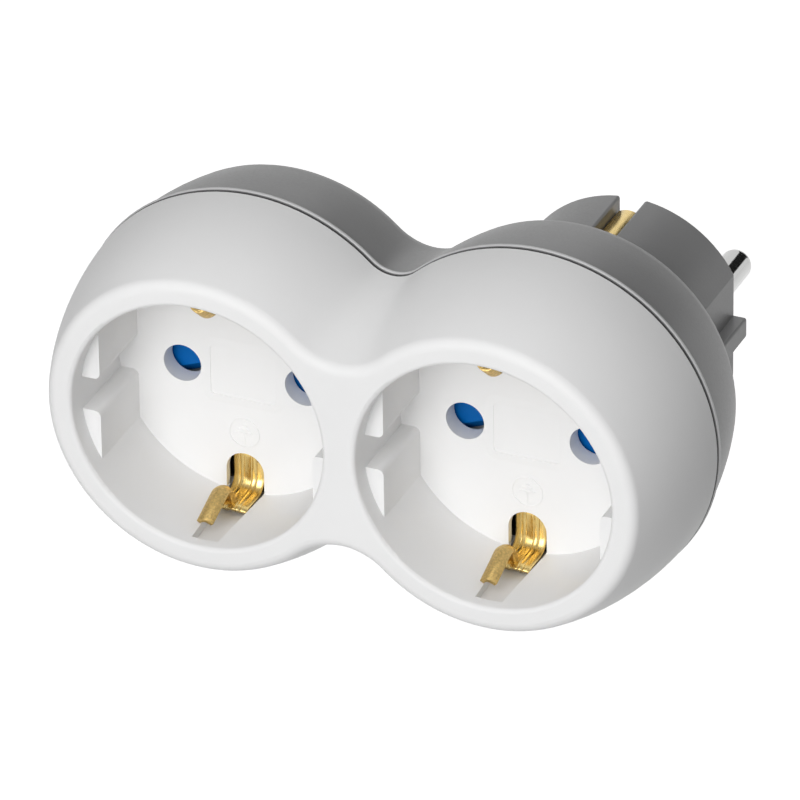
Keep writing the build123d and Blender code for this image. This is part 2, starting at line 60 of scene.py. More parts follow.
bl_info = {
    "name": "Socket adapter looks",
    "version": (1, 0, 0),
    "blender": (4, 5, 0),
    "location": "View3D > Sidebar > Adapter",
    "description": "Finishes, brass contacts, floor marks and studio of the socket adapter",
    "category": "Object",
}

MM = 0.001
CARRIER = "adapter"
SIDES = ("right", "left")
FACING_FRONT = (math.pi / 2, 0.0, 0.0)
QUARTER_DOWN = -math.pi / 2
WHITE_RGB = (1.0, 1.0, 1.0)
WHITE = (*WHITE_RGB, 1.0)

NODE_FINISHES = {
    "white_plastic": ("front_cover", "shutter_retainer_left", "shutter_retainer_right"),
    "grey_plastic": ("rear_housing",),
    "blue_plastic": ("shutter_left", "shutter_right"),
    "brass": (
        "earth_stirrup_left",
        "earth_stirrup_right",
        "earth_link",
        "plug_earth_bracket",
        "bus_bar_left",
        "bus_bar_right",
        "pin_contact_left_left",
        "pin_contact_left_right",
        "pin_contact_right_left",
        "pin_contact_right_right",
        "contact_rivets",
        "earth_rivets",
    ),
    "nickel_plate": ("plug_pin_left", "plug_pin_right"),
    "spring_steel": ("housing_screw", "shutter_spring_left", "shutter_spring_right"),
}

# Noise of the finishes: roughness, layers, where most of it lies and the usual cloud scale
NOISE_ROUGHNESS = 0.55
CLOUD_DETAIL = 3.0
GRAIN_DETAIL = 2.0
NOISE_LOW = 0.3
NOISE_HIGH = 0.7
WIDE_CLOUDS = 60.0
EVEN = (1.0, 1.0, 1.0)
PLAIN_GLOSS = 0.5

# Painted light and shade along the bead, from its front to its back, as shares of its lightest
# tone: a painted shadow in the groove, a painted highlight on the bead, then the plain grey
BEAD_HIGHLIGHT_AND_SHADOW = ((0.01, 0.14), (0.08, 0.20), (0.18, 1.0), (0.90, 1.0), (0.99, 0.476))

# Earth sign in its ring, in shares of the ring's inner radius: the stem, then the bars above it
STEM_RISE = -0.5
STEM_HEIGHT = 0.9
FIRST_BAR_RISE = 0.05
BAR_STEP = 0.28
BAR_WIDTHS = (1.3, 0.85, 0.4)

# Fineness of the floor marks, and their soft edge as a part of the relief
RING_STEPS = 56
CORNER_STEPS = 6
EDGE_STEPS = 2
SOFT_EDGE_PART = 3

# Bent strips, in millimetres and degrees: a straight run, the bend after it and its radius;
# a bend upwards is positive
LEAF = (
    (11.1, 90.0, 1.5),
    (4.35, -90.0, 1.5),
    (3.15, 90.0, 2.4),
    (3.4, -38.0, 1.0),
    (0.15, 0.0, 0.0),
)
LOWER_TONGUE = ((0.95, 69.8, 1.5), (1.20, -90.0, 1.5), (5.45, 0.0, 0.0))
UPPER_TONGUE = ((2.11, 55.6, 1.5), (3.80, -96.5, 1.5), (3.21, 0.0, 0.0))

# Fineness of the strips, and their soft edge and weld distance as parts of the gauge
CROWN_STEPS = 12
BEND_STEP = math.radians(9)
FEWEST_BEND_STEPS = 3
STRIP_EDGE_PART = 7
STRIP_WELD_PART = 1000
EDGE_ANGLE = math.radians(60)
SMOOTH_ANGLE = math.radians(40)

# Ways from the adapter to the lamps and the dark cards
FRONT_LAMP_WAY = (0.0, -1.0, 0.05)
UPPER_LAMP_WAY = (0.0, -0.8, 0.6)
TOP_LAMP_WAY = (0.0, -0.1, 1.0)
BACK_CARD_WAY = (0.30, 0.79, 0.47)
LEFT_CARD_WAY = (-1.0, -0.15, 0.1)

# Studio: paints, the floor's size and the clip range in metres, the sensor in millimetres
CARD_COLOUR = (0.01, 0.01, 0.01, 1.0)
FLOOR_COLOUR = (0.6, 0.6, 0.6, 1.0)
FLOOR_GLOW = 0.82
FLOOR_SIZE = 8.0
SENSOR_WIDTH = 36.0
CLIP_START = 0.01
CLIP_END = 50.0


def socket_centre_x(side):
    """X of a socket's axis, from the shutter that turns on it."""
    low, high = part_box(f"shutter_{side}")
    return (low.x + high.x) / 2


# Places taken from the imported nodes
SOCKET_X = {side: socket_centre_x(side) for side in SIDES}
TO_LEFT_SOCKET = (SOCKET_X["left"] - SOCKET_X["right"], 0.0, 0.0)
RIM_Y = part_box("front_cover")[0].y
WELL_DEPTH = 16.5 * MM
FLOOR_Y = RIM_Y + WELL_DEPTH
BEAD_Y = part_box("rear_housing")[0].y


def colour(name, description, default):
    """Property for a finish's own colour."""
    return bpy.props.FloatVectorProperty(
        name=name,
        description=description,
        subtype="COLOR",
        size=3,
        min=0.0,
        max=1.0,
        default=default,
    )


def length(name, description, default_mm):
    """Property for a length, its default written in millimetres."""
    return bpy.props.FloatProperty(
        name=name, description=description, unit="LENGTH", precision=5, default=default_mm * MM
    )


def share(name, description, default):
    """Property for a plain share between nought and one."""
    return bpy.props.FloatProperty(
        name=name, description=description, subtype="FACTOR", min=0.0, max=1.0, default=default
    )


def turn(name, description, degrees):
    """Property for an angle, its default written in degrees."""
    return bpy.props.FloatProperty(
        name=name, description=description, subtype="ANGLE", default=math.radians(degrees)
    )


class AdapterFinishes(bpy.types.PropertyGroup):
    """Colours and gloss of the adapter's materials."""

    white: colour("White plastic", "Satin white of the cover", (0.885, 0.885, 0.885))
    grey: colour("Grey plastic", "Fine eroded grey of the back and plug", (0.28, 0.28, 0.282))
    blue: colour("Blue plastic", "Blue of the shutters", (0.001, 0.125, 0.43))
    brass: colour("Brass", "Pressed brass of the earth contacts", (0.86, 0.65, 0.26))
    stamped_brass: colour("Stamped brass", "Duller brass of the narrow tongues", (0.66, 0.47, 0.18))
    nickel: colour("Nickel", "Bright plate of the plug pins", (0.55, 0.55, 0.545))
    steel: colour("Steel", "Plain steel of the screw and springs", (0.48, 0.48, 0.49))
    # The bead's width and light set painted light and shade: a painted highlight on the bead and a
    # painted shadow in the groove before it
    bead_width: length("Bead width", "Width of the painted bead highlight behind the parting line", 0.9)
    bead_highlight: bpy.props.FloatProperty(
        name="Bead light", description="How much lighter the painted bead highlight is", min=1.0, default=2.1
    )
    white_roughness: share("White roughness", "Roughness of the satin white", 0.42)
    grey_roughness: share("Grey roughness", "Roughness of the eroded grey", 0.40)


class FloorMarkSizes(bpy.types.PropertyGroup):
    """Bare sunk plate and earth sign moulded on the well floors."""

    plate_width: length("Plate width", "Width of the bare sunk plate", 10.1)
    plate_height: length("Plate height", "Height of the bare sunk plate", 7.8)
    plate_corner: length("Plate corner", "Radius of the plate's corners", 0.5)
    plate_border: length("Plate border", "Width of the slope that rises to the plate's edge", 1.4)
    plate_rise: length("Plate rise", "Height of the plate's edge above the floor", 0.14)
    ring_r: length("Ring radius", "Outer radius of the earth sign's ring", 2.45)
    ring_drop: length("Ring drop", "Drop of the ring below the socket's axis", 9.6)
    line: length("Line", "Width of a raised line", 0.26)
    relief: length("Relief", "Height of the lines", 0.13)
    sink: length("Sink", "Depth of their roots in the floor", 0.05)


class EarthContactSizes(bpy.types.PropertyGroup):
    """Pressed brass strips at the top and bottom of the wells."""

    gauge: length("Gauge", "Thickness of the strip", 0.7)
    leg_depth: length("Leg depth", "Depth of the stirrup's leg behind the rim", 25.6)
    leaf_width: length("Leaf width", "Width of the ribbed leaf", 4.8)
    leaf_crown: length("Leaf crown", "Rise of the leaf's middle above its edges", 0.45)
    groove: length("Groove", "Depth of the leaf's grooves", 0.13)
    groove_width: length("Groove width", "Width of a groove", 0.28)
    inner_groove: length("Inner groove", "Place of the inner grooves from the leaf's middle", 0.62)
    outer_groove: length("Outer groove", "Place of the outer grooves from the leaf's middle", 1.3)
    tongue_width: length("Tongue width", "Width of the narrow tongue", 2.7)
    tongue_crown: length("Tongue crown", "Rise of the tongue's middle", 0.75)
    tongue_shift: length("Tongue shift", "Place of the tongue's middle left of the axis", 1.05)
    root_depth: length("Root depth", "Depth of the tongue's root behind the rim", 14.5)
    run_z: length("Run height", "Height of the leaf's front run from the socket's axis", 19.65)


class PlugStripSizes(bpy.types.PropertyGroup):
    """Crowned brass strip in the plug's earth slots."""

    gauge: length("Gauge", "Thickness of the strip", 0.7)
    crown: length("Crown", "Rise of the strip's middle above its edges", 0.55)
    bend_r: length("Bend radius", "Radius of the bends behind the plug", 1.2)


class StageSettings(bpy.types.PropertyGroup):
    """Floor, light, cards and camera of the studio."""

    floor_drop: length("Floor drop", "Gap between the adapter and the floor below it", 90.0)
    ambient: share("Ambient", "Light from all around", 0.13)
    front_level: share("Front level", "Light from the front lamp on a face turned to it", 0.59)
    upper_level: share("Upper level", "Light from the upper lamp on a face turned to it", 0.44)
    top_level: share("Top level", "Light from the top lamp on a face turned to it", 0.20)
    lamp_distance: length("Lamp distance", "Distance of the lamps from the adapter", 1800.0)
    front_width: length("Front width", "Width of the front lamp", 1600.0)
    upper_width: length("Upper width", "Width of the upper and the top lamp", 1400.0)
    back_distance: length("Back distance", "Distance of the dark card behind the adapter", 900.0)
    back_width: length("Back width", "Width of the dark card that the plug pins mirror", 550.0)
    back_height: length("Back height", "Height of the dark card behind the adapter", 800.0)
    left_distance: length("Left distance", "Distance of the dark card left of the adapter", 500.0)
    left_width: length("Left width", "Width and height of the dark card on the left", 900.0)
    azimuth: turn("Azimuth", "Camera angle around the adapter", 23.70)
    elevation: turn("Elevation", "Camera angle above the horizon", 30.18)
    roll: turn("Roll", "Turn of the camera about its own view", -0.85)
    distance: length("Distance", "Camera distance from the aim", 1385.4)
    view_width: length("View width", "Width seen at the aim", 112.22)
    aim: bpy.props.FloatVectorProperty(
        name="Aim",
        description="Point in the middle of the picture",
        subtype="TRANSLATION",
        precision=5,
        default=(-13.06 * MM, -54.71 * MM, 10.58 * MM),
    )


def node(tree, kind, **inputs):
    """Adds a shader node and sets its input sockets by name, spaces written as underscores."""
    made = tree.nodes.new(kind)
    for name, value in inputs.items():
        made.inputs[name.replace("_", " ")].default_value = value
    return made


def scaled(rgb, amount):
    """A colour made lighter or darker, with full alpha."""
    return (*[min(1.0, channel * amount) for channel in rgb], 1.0)


def around(middle, spread):
    """Range around a middle value."""
    return middle - spread, middle + spread


def noise(tree, place, scale, detail, stretch=EVEN):
    """Noise on Object coordinates; the scale is in grains per metre."""
    mapping = node(tree, "ShaderNodeMapping", Scale=stretch)
    tree.links.new(place.outputs["Object"], mapping.inputs["Vector"])
    grains = node(tree, "ShaderNodeTexNoise", Scale=scale, Detail=detail, Roughness=NOISE_ROUGHNESS)
    tree.links.new(mapping.outputs["Vector"], grains.inputs["Vector"])
    return grains.outputs["Fac"]


def span(tree, source, low, high):
    """Noise spread over a range of values."""
    spread = node(
        tree, "ShaderNodeMapRange", From_Min=NOISE_LOW, From_Max=NOISE_HIGH, To_Min=low, To_Max=high
    )
    tree.links.new(source, spread.inputs["Value"])
    return spread.outputs["Result"]


def tint(tree, source, dark, light):
    """Colour between a dark and a light shade, steered by noise."""
    ramp = node(tree, "ShaderNodeValToRGB")
    ends = zip(ramp.color_ramp.elements, (NOISE_LOW, NOISE_HIGH), (dark, light))
    for stop, position, shade in ends:
        stop.position = position
        stop.color = shade
    tree.links.new(source, ramp.inputs["Fac"])
    return ramp.outputs["Color"]


def make_finish(
    name,
    rgb,
    *,
    rough,
    mottle,
    grain,
    relief,
    metallic=0.0,
    gloss=PLAIN_GLOSS,
    cloud=WIDE_CLOUDS,
    stretch=EVEN,
):
    """Material with mottled colour, uneven gloss and a fine grain; rough and mottle are ranges."""
    material = bpy.data.materials.new(f"finish_{name}")
    material.use_nodes = True
    tree = material.node_tree
    shader = tree.nodes["Principled BSDF"]
    shader.inputs["Metallic"].default_value = metallic
    shader.inputs["Specular IOR Level"].default_value = gloss
    place = node(tree, "ShaderNodeTexCoord")
    clouds = noise(tree, place, cloud, CLOUD_DETAIL)
    dark, light = [scaled(rgb, amount) for amount in mottle]
    tree.links.new(tint(tree, clouds, dark, light), shader.inputs["Base Color"])
    fine = noise(tree, place, grain, GRAIN_DETAIL, stretch)
    tree.links.new(span(tree, fine, *rough), shader.inputs["Roughness"])
    bump = node(tree, "ShaderNodeBump", Strength=1.0, Distance=relief)
    tree.links.new(fine, bump.inputs["Height"])
    tree.links.new(bump.outputs["Normal"], shader.inputs["Normal"])
    return material


def paint_bead_highlight_and_shadow(material, look):
    """Paints light and shade into the grey along Y: a painted highlight on the bead behind the
    parting line and a painted shadow in the groove before it.
    """
    tree = material.node_tree
    shader = tree.nodes["Principled BSDF"]
    plain = shader.inputs["Base Color"].links[0].from_socket
    place = node(tree, "ShaderNodeTexCoord")
    axes = node(tree, "ShaderNodeSeparateXYZ")
    tree.links.new(place.outputs["Object"], axes.inputs["Vector"])
    along = node(tree, "ShaderNodeMapRange", From_Min=BEAD_Y, From_Max=BEAD_Y + look.bead_width)
    tree.links.new(axes.outputs["Y"], along.inputs["Value"])
    # Ramp of painted tones: shadow in the groove, highlight on the bead, plain grey behind
    ramp = node(tree, "ShaderNodeValToRGB")
    ramp.color_ramp.interpolation = "EASE"
    stops = ramp.color_ramp.elements
    for position, amount in BEAD_HIGHLIGHT_AND_SHADOW:
        stop = stops.new(position)
        stop.color = scaled(WHITE_RGB, amount)
    stops.remove(stops[0])
    stops.remove(stops[len(stops) - 1])
    tree.links.new(along.outputs["Result"], ramp.inputs["Fac"])
    shaded = node(tree, "ShaderNodeVectorMath")
    shaded.operation = "MULTIPLY"
    tree.links.new(plain, shaded.inputs[0])
    tree.links.new(ramp.outputs["Color"], shaded.inputs[1])
    tree.links.new(shaded.outputs["Vector"], shader.inputs["Base Color"])


def finish(name):
    """A material by its slot name."""
    return bpy.data.materials[f"finish_{name}"]


class ADAPTER_OT_finishes(bpy.types.Operator):
    """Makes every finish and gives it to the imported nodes"""

    bl_idname = "adapter.finishes"
    bl_label = "Finishes"

    def execute(self, context):
        look = context.scene.adapter_finishes
        make_finish(
            "white_plastic",
            look.white,
            rough=around(look.white_roughness, spread=0.04),
            mottle=(0.985, 1.01),
            grain=3000.0,
            relief=0.004 * MM,
            gloss=0.1,
        )
        # The grey is lifted here to the tone of the bead's painted highlight; the bead's ramp
        # brings it down to plain grey elsewhere
        grey = make_finish(
            "grey_plastic",
            [channel * look.bead_highlight for channel in look.grey],
            rough=around(look.grey_roughness, spread=0.06),
            mottle=(0.95, 1.05),
            grain=2600.0,
            relief=0.02 * MM,
        )
        # Painted highlight on the bead and painted shadow in the groove before it
        paint_bead_highlight_and_shadow(grey, look)
        make_finish(
            "blue_plastic",
            look.blue,
            rough=(0.28, 0.36),
            mottle=(0.93, 1.07),
            grain=2200.0,
            relief=0.004 * MM,
            gloss=0.15,
        )
        make_finish(
            "brass",
            look.brass,
            rough=(0.20, 0.34),
            mottle=(0.88, 1.08),
            grain=900.0,
            relief=0.012 * MM,
            metallic=1.0,
            stretch=(6.0, 0.6, 0.6),
        )
        make_finish(
            "stamped_brass",
            look.stamped_brass,
            rough=(0.32, 0.54),
            mottle=(0.70, 1.16),
            grain=3600.0,
            relief=0.1 * MM,
            metallic=1.0,
            cloud=2600.0,
        )
        make_finish(
            "nickel_plate",
            look.nickel,
            rough=(0.08, 0.16),
            mottle=(0.96, 1.03),
            grain=1500.0,
            relief=0.002 * MM,
            metallic=1.0,
        )
        make_finish(
            "spring_steel",
            look.steel,
            rough=(0.26, 0.36),
            mottle=(0.94, 1.05),
            grain=1800.0,
            relief=0.004 * MM,
            metallic=1.0,
        )
        for slot_name, names in NODE_FINISHES.items():
            for name in names:
                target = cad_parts[name]
                target.data.materials.clear()
                target.data.materials.append(finish(slot_name))
        return {"FINISHED"}


def deselect_all():
    """Leaves edit mode and clears the selection, so that operators act on new pieces alone."""
    if bpy.context.object and bpy.context.object.mode != "OBJECT":
        bpy.ops.object.mode_set(mode="OBJECT")
    bpy.ops.object.select_all(action="DESELECT")


def select_only(piece):
    """Selects one piece and makes it active."""
    deselect_all()
    piece.select_set(True)
    bpy.context.view_layer.objects.active = piece


def settle():
    """Puts the active piece's place, turn and size into its mesh."""
    bpy.ops.object.transform_apply(location=True, rotation=True, scale=True)


def settle_as(name):
    """Settles the active piece and names it and its mesh."""
    settle()
    piece = bpy.context.object
    piece.name = name
    piece.data.name = name
    return piece


def apply_modifier(kind, name, **settings):
    """Adds a modifier to the active piece and applies it at once."""
    piece = bpy.context.object
    modifier = piece.modifiers.new(name, kind)
    for key, value in settings.items():
        setattr(modifier, key, value)
    bpy.ops.object.modifier_apply(modifier=modifier.name)


def join_as(name, pieces):
    """Joins pieces into one named object that sits at the origin."""
    select_only(pieces[0])
    for piece in pieces[1:]:
        piece.select_set(True)
    bpy.ops.object.join()
    return settle_as(name)


def copy_shifted(piece, name, shift):
    """Copies a piece with its own mesh and moves the copy inside its mesh."""
    select_only(piece)
    bpy.ops.object.duplicate(linked=False)
    bpy.ops.transform.translate(value=shift)
    return settle_as(name)


def dress(piece, slot_name, finish_name=None):
    """Gives a new piece its finish, the slot's own unless another finish is named, and its body."""
    piece.data.materials.clear()
    piece.data.materials.append(finish(finish_name or slot_name))
    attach(piece, CARRIER)


def lay_plane(place, width, height):
    """Flat rectangle that faces the front, with its middle at a place."""
    deselect_all()
    bpy.ops.mesh.primitive_plane_add(size=1.0, location=place, rotation=FACING_FRONT)
    plane = bpy.context.object
    plane.scale = (width, height, 1.0)
    settle()
    return plane


def raise_lines(marks):
    """Gives the active flat lines their relief and a softened top edge."""
    apply_modifier("SOLIDIFY", "relief", thickness=marks.relief + marks.sink, offset=-1.0)
    soft = marks.relief / SOFT_EDGE_PART
    apply_modifier("BEVEL", "soft_edge", width=soft, segments=EDGE_STEPS, limit_method="ANGLE")


def mould_plate(marks):
    """Edge of the bare plate: a slope that rises from the floor around the sunk middle."""
    border = marks.plate_border
    middle = (SOCKET_X["right"], FLOOR_Y, 0.0)
    plate = lay_plane(middle, marks.plate_width + 2 * border, marks.plate_height + 2 * border)
    bpy.ops.object.mode_set(mode="EDIT")
    bpy.ops.mesh.select_all(action="SELECT")
    bpy.ops.mesh.bevel(offset=marks.plate_corner + border, segments=CORNER_STEPS, affect="VERTICES")
    bpy.ops.mesh.inset(thickness=border)
    bpy.ops.transform.translate(value=(0.0, -marks.plate_rise, 0.0))
    bpy.ops.mesh.delete(type="ONLY_FACE")
    bpy.ops.object.mode_set(mode="OBJECT")
    raise_lines(marks)
    return plate


def mould_ring(marks):
    """Ring of the earth sign, the outline of a flat disc."""
    deselect_all()
    bpy.ops.mesh.primitive_circle_add(
        vertices=RING_STEPS,
        radius=marks.ring_r,
        fill_type="NGON",
        location=(SOCKET_X["right"], FLOOR_Y - marks.relief, -marks.ring_drop),
        rotation=FACING_FRONT,
    )
    settle()
    bpy.ops.object.mode_set(mode="EDIT")
    bpy.ops.mesh.select_all(action="SELECT")
    bpy.ops.mesh.inset(thickness=marks.line)
    bpy.ops.mesh.delete(type="FACE")
    bpy.ops.object.mode_set(mode="OBJECT")
    raise_lines(marks)
    return bpy.context.object


def mould_bars(marks):
    """Stem and bars of the earth sign inside its ring."""
    inner = marks.ring_r - 2 * marks.line
    bars = [(STEM_RISE, marks.line, inner * STEM_HEIGHT)]
    for step, width in enumerate(BAR_WIDTHS):
        bars.append((FIRST_BAR_RISE + step * BAR_STEP, inner * width, marks.line))
    pieces = []
    for rise, width, height in bars:
        place = (SOCKET_X["right"], FLOOR_Y - marks.relief, -marks.ring_drop + rise * inner)
        pieces.append(lay_plane(place, width, height))
        raise_lines(marks)
    return pieces


class ADAPTER_OT_floor_marks(bpy.types.Operator):
    """Moulds a bare sunk plate and the earth sign on each well floor"""

    bl_idname = "adapter.floor_marks"
    bl_label = "Floor marks"

    def execute(self, context):
        marks = context.scene.adapter_marks
        pieces = [mould_plate(marks), mould_ring(marks), *mould_bars(marks)]
        right = join_as("floor_marks_right", pieces)
        left = copy_shifted(right, "floor_marks_left", TO_LEFT_SOCKET)
        for piece in (right, left):
            dress(piece, "white_plastic")
        return {"FINISHED"}


def bends(moves):
    """A strip's moves in metres and radians."""
    return [(run * MM, math.radians(degrees), radius * MM) for run, degrees, radius in moves]


def strip_ahead(heading):
    """Way in which a strip runs; with a heading of nought it runs to the front."""
    return Vector((0.0, -math.cos(heading), math.sin(heading)))


def strip_outward(heading):
    """Way out of a strip's crowned face; with a heading of nought it is up."""
    return Vector((0.0, math.sin(heading), math.cos(heading)))


def crowned(width, crown, grooves=(), groove_width=0.0, groove_depth=0.0):
    """Section of a pressed strip: places across its width with the rise of each."""
    places = [width * (step / CROWN_STEPS - 0.5) for step in range(CROWN_STEPS + 1)]
    for groove in grooves:
        places = [place for place in places if abs(place - groove) > groove_width]
        places += [groove - groove_width / 2, groove, groove + groove_width / 2]
    section = []
    for place in sorted(places):
        rise = crown * (1.0 - (2.0 * place / width) ** 2)
        cut = groove_depth if place in grooves else 0.0
        section.append((place, rise - cut))
    return section


def lay_chain(name, section, middle, heading, lift):
    """Lays a strip's section as a chain of edges across its start, lifted from its middle line."""
    deselect_all()
    bpy.ops.mesh.primitive_grid_add(x_subdivisions=len(section) - 1, y_subdivisions=1, size=1.0)
    piece = bpy.context.object
    piece.name = name
    bpy.ops.object.mode_set(mode="EDIT")
    mesh = bmesh.from_edit_mesh(piece.data)
    for vert in mesh.verts:
        vert.select_set(vert.co.y > 0)
    mesh.select_flush_mode()
    bmesh.update_edit_mesh(piece.data)
    bpy.ops.mesh.delete(type="VERT")
    mesh = bmesh.from_edit_mesh(piece.data)
    for vert, (place, rise) in zip(sorted(mesh.verts, key=lambda v: v.co.x), section):
        vert.co = middle + Vector((place, 0.0, 0.0)) + strip_outward(heading) * (rise + lift)
    bpy.ops.mesh.select_all(action="SELECT")
    bmesh.update_edit_mesh(piece.data)
    return piece


def press_strip(name, section, middle, heading, gauge, moves):
    """Draws a chain of edges out into a bent strip; a move is a run, a bend and its radius."""
    piece = lay_chain(name, section, middle, heading, gauge / 2)
    for run, bend, radius in moves:
        ahead = strip_ahead(heading)
        bpy.ops.mesh.extrude_edges_move(TRANSFORM_OT_translate={"value": ahead * run})
        middle = middle + ahead * run
        if bend == 0.0:
            continue
        side = math.copysign(radius, bend)
        centre = middle + strip_outward(heading) * side
        steps = max(FEWEST_BEND_STEPS, round(abs(bend) / BEND_STEP))
        bpy.ops.mesh.spin(steps=steps, angle=bend, center=centre, axis=(1.0, 0.0, 0.0))
        heading += bend
        middle = centre - strip_outward(heading) * side
    bpy.ops.mesh.select_all(action="SELECT")
    bpy.ops.mesh.remove_doubles(threshold=gauge / STRIP_WELD_PART)
    bpy.ops.mesh.normals_make_consistent(inside=False)
    mesh = bmesh.from_edit_mesh(piece.data)
    mesh.faces.ensure_lookup_table()
    last = min(mesh.faces, key=lambda face: (face.calc_center_median() - middle).length)
    if last.normal.dot(strip_outward(heading)) < 0:
        bpy.ops.mesh.flip_normals()
    bpy.ops.object.mode_set(mode="OBJECT")
    apply_modifier("SOLIDIFY", "gauge", thickness=gauge, offset=-1.0)
    apply_modifier(
        "BEVEL",
        "edge",
        width=gauge / STRIP_EDGE_PART,
        segments=EDGE_STEPS,
        limit_method="ANGLE",
        angle_limit=EDGE_ANGLE,
    )
    bpy.ops.object.shade_smooth_by_angle(angle=SMOOTH_ANGLE)
    return piece


def turn_over(piece):
    """Mirrors a piece to the other side of the socket's axis and sets its faces outward again."""
    select_only(piece)
    bpy.ops.object.mode_set(mode="EDIT")
    bpy.ops.mesh.select_all(action="SELECT")
    bpy.ops.transform.resize(value=(1.0, 1.0, -1.0), center_override=(0.0, 0.0, 0.0))
    bpy.ops.mesh.normals_make_consistent(inside=False)
    bpy.ops.object.mode_set(mode="OBJECT")


class ADAPTER_OT_earth_contacts(bpy.types.Operator):
    """Presses the ribbed brass leaf and the tongue at both ends of each earth stirrup"""

    bl_idname = "adapter.earth_contacts"
    bl_label = "Earth contacts"

    def execute(self, context):
        sizes = context.scene.adapter_contacts
        gauge = sizes.gauge
        places = (sizes.inner_groove, sizes.outer_groove)
        grooves = [way * place for way in (1, -1) for place in places]
        leaf_section = crowned(
            sizes.leaf_width, sizes.leaf_crown, grooves, sizes.groove_width, sizes.groove
        )
        tongue_section = crowned(sizes.tongue_width, sizes.tongue_crown)
        leaf_start = Vector((SOCKET_X["right"], RIM_Y + sizes.leg_depth, 0.0))
        tongue_x = SOCKET_X["right"] - sizes.tongue_shift
        tongue_start = Vector((tongue_x, RIM_Y + sizes.root_depth, -sizes.run_z))
        leaves = []
        tongues = []
        for level, moves in (("lower", LOWER_TONGUE), ("upper", UPPER_TONGUE)):
            leaf = press_strip(
                f"{level}_leaf", leaf_section, leaf_start, QUARTER_DOWN, gauge, bends(LEAF)
            )
            tongue = press_strip(
                f"{level}_tongue", tongue_section, tongue_start, 0.0, gauge, bends(moves)
            )
            if level == "upper":
                turn_over(leaf)
                turn_over(tongue)
            leaves.append(leaf)
            tongues.append(tongue)
        for name, pieces, finish_name in (
            ("earth_leaves", leaves, "brass"),
            ("earth_tongues", tongues, "stamped_brass"),
        ):
            right = join_as(f"{name}_right", pieces)
            left = copy_shifted(right, f"{name}_left", TO_LEFT_SOCKET)
            for side, piece in (("right", right), ("left", left)):
                dress(piece, "brass", finish_name)
                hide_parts(f"earth_stirrup_{side}")
        return {"FINISHED"}


class ADAPTER_OT_plug_strip(bpy.types.Operator):
    """Presses the crowned strip that lies in both earth slots of the plug"""

    bl_idname = "adapter.plug_strip"
    bl_label = "Plug strip"

    def execute(self, context):
        sizes = context.scene.adapter_strip
        low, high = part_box("plug_earth_bracket")
        section = crowned(high.x - low.x, sizes.crown)
        level = high.z - sizes.gauge / 2
        leg = high.y - low.y - sizes.gauge / 2 - sizes.crown - sizes.bend_r
        bridge = 2 * (level - sizes.bend_r)
        back_end = Vector(((low.x + high.x) / 2, high.y, level))
        corner = (QUARTER_DOWN, sizes.bend_r)
        moves = [(leg, *corner), (bridge, *corner), (leg, 0.0, 0.0)]
        strip = press_strip("plug_earth_strip", section, back_end, 0.0, sizes.gauge, moves)
        dress(strip, "brass")
        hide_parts("plug_earth_bracket")
        return {"FINISHED"}


def white_rays(tree):
    """One where the eye, a gloss or a clear body looks, nought for plain light."""
    path = node(tree, "ShaderNodeLightPath")
    total = path.outputs["Is Camera Ray"]
    for kind in ("Is Glossy Ray", "Is Transmission Ray"):
        either = node(tree, "ShaderNodeMath")
        either.operation = "MAXIMUM"
        tree.links.new(total, either.inputs[0])
        tree.links.new(path.outputs[kind], either.inputs[1])
        total = either.outputs["Value"]
    return total


def make_world(ambient):
    """World that lights softly from all around and looks white."""
    world = bpy.data.worlds.new("studio")
    world.use_nodes = True
    tree = world.node_tree
    soft = tree.nodes["Background"]
    soft.inputs["Color"].default_value = WHITE
    soft.inputs["Strength"].default_value = ambient
    seen = node(tree, "ShaderNodeBackground", Color=WHITE, Strength=1.0)
    mix = node(tree, "ShaderNodeMixShader")
    tree.links.new(white_rays(tree), mix.inputs["Fac"])
    tree.links.new(soft.outputs["Background"], mix.inputs[1])
    tree.links.new(seen.outputs["Background"], mix.inputs[2])
    tree.links.new(mix.outputs["Shader"], tree.nodes["World Output"].inputs["Surface"])
    return world


def make_floor_paint():
    """Pale floor that looks white and keeps a soft shadow."""
    paint = bpy.data.materials.new("floor_paint")
    paint.use_nodes = True
    tree = paint.node_tree
    tree.nodes.remove(tree.nodes["Principled BSDF"])
    plain = node(tree, "ShaderNodeBsdfDiffuse", Color=FLOOR_COLOUR)
    glow = node(tree, "ShaderNodeEmission", Color=WHITE, Strength=FLOOR_GLOW)
    lit = node(tree, "ShaderNodeAddShader")
    tree.links.new(plain.outputs["BSDF"], lit.inputs[0])
    tree.links.new(glow.outputs["Emission"], lit.inputs[1])
    mix = node(tree, "ShaderNodeMixShader")
    tree.links.new(white_rays(tree), mix.inputs["Fac"])
    tree.links.new(plain.outputs["BSDF"], mix.inputs[1])
    tree.links.new(lit.outputs["Shader"], mix.inputs[2])
    tree.links.new(mix.outputs["Shader"], tree.nodes["Material Output"].inputs["Surface"])
    return paint


def make_card_paint():
    """Dull black of the cards."""
    paint = bpy.data.materials.new("card_paint")
    paint.use_nodes = True
    shader = paint.node_tree.nodes["Principled BSDF"]
    shader.inputs["Base Color"].default_value = CARD_COLOUR
    shader.inputs["Roughness"].default_value = 1.0
    return paint


def lay_floor(stage):
    """Wide floor well below the adapter."""
    deselect_all()
    below = (0.0, 0.0, cad_low.z - stage.floor_drop)
    bpy.ops.mesh.primitive_plane_add(size=FLOOR_SIZE, location=below)
    floor = bpy.context.object
    floor.name = "studio_floor"
    floor.data.materials.append(make_floor_paint())


def hang_lamp(name, middle, way, distance, width, level):
    """Round soft lamp that lights a face turned to it with a level of plain light."""
    towards = Vector(way).normalized()
    bpy.ops.object.light_add(type="AREA", location=middle + towards * distance)
    lamp = bpy.context.object
    lamp.name = name
    lamp.rotation_mode = "QUATERNION"
    lamp.rotation_quaternion = (-towards).to_track_quat("-Z", "Y")
    lamp.data.shape = "DISK"
    lamp.data.size = width
    lamp.data.energy = level * math.pi**2 * distance**2


